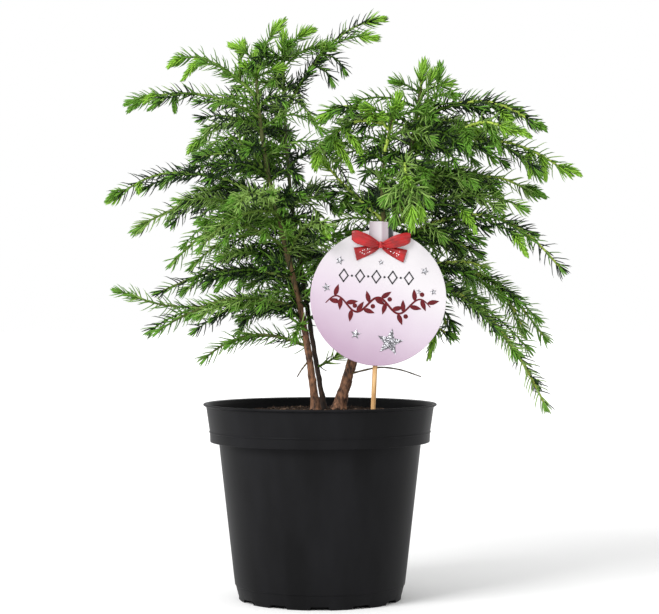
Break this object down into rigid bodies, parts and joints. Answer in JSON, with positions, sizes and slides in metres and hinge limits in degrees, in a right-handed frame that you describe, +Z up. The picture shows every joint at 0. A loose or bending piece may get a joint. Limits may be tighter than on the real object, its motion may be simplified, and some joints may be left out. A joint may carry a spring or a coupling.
{
  "type": "potted norfolk island pine",
  "caption": "Young potted Norfolk Island pine with arching, soft-needled boughs in a round black nursery pot, with a bauble-shaped holiday pick on a skewer.",
  "frame": {"origin": "middle of the pot's flat underside", "axes": "+Z up through the pot's axis, +X to the right and -Y towards a viewer who faces the holiday pick"},
  "size_m": [0.3444, 0.219, 0.4182],
  "materials": {
    "pot_plastic": "satin black moulded polypropylene",
    "potting_soil": "dark, crumbly, matt peat and bark mix",
    "bark": "matt brown bark, ringed and flaking",
    "bough_bark": "matt brown-green young bark",
    "needles": "soft green needles, fresh yellow-green at the tips",
    "board_print": "satin pale lilac print",
    "stick_wood": "bare pale bamboo",
    "ribbon": "red satin ribbon with white flecks"
  },
  "bodies": {
    "root": {"bough_back_1": "bough_bark", "bough_back_2": "bough_bark", "bough_back_3": "bough_bark", "bough_back_4": "bough_bark", "bough_back_5": "bough_bark", "bough_back_6": "bough_bark", "bough_left_1": "bough_bark", "bough_left_2": "bough_bark", "bough_left_4": "bough_bark", "bough_left_5": "bough_bark", "bough_left_6": "bough_bark", "bough_left_7": "bough_bark", "bough_left_8": "bough_bark", "bough_left_9": "bough_bark", "bough_right_1": "bough_bark", "bough_right_2": "bough_bark", "bough_right_3": "bough_bark", "bough_right_4": "bough_bark", "bough_right_5": "bough_bark", "bough_right_6": "bough_bark", "bough_top": "bough_bark", "foliage_back_1": "needles", "foliage_back_2": "needles", "foliage_back_3": "needles", "foliage_back_4": "needles", "foliage_back_5": "needles", "foliage_back_6": "needles", "foliage_front_1": "needles", "foliage_front_2": "needles", "foliage_front_3": "needles", "foliage_inner_1": "needles", "foliage_inner_2": "needles", "foliage_left_1": "needles", "foliage_left_2": "needles", "foliage_left_3": "needles", "foliage_left_4": "needles", "foliage_left_5": "needles", "foliage_left_6": "needles", "foliage_left_7": "needles", "foliage_left_8": "needles", "foliage_left_9": "needles", "foliage_right_1": "needles", "foliage_right_2": "needles", "foliage_right_3": "needles", "foliage_right_4": "needles", "foliage_right_5": "needles", "foliage_right_6": "needles", "foliage_right_7": "needles", "foliage_top": "needles", "foliage_tuft_middle": "needles", "foliage_tuft_right": "needles", "pick_board": "board_print", "pick_bow": "ribbon", "pick_stick": "stick_wood", "pot": "pot_plastic", "soil": "potting_soil", "stem_fork": "bark", "stem_left": "bark", "stem_middle": "bark", "stem_right": "bark"}
  },
  "joints": []
}
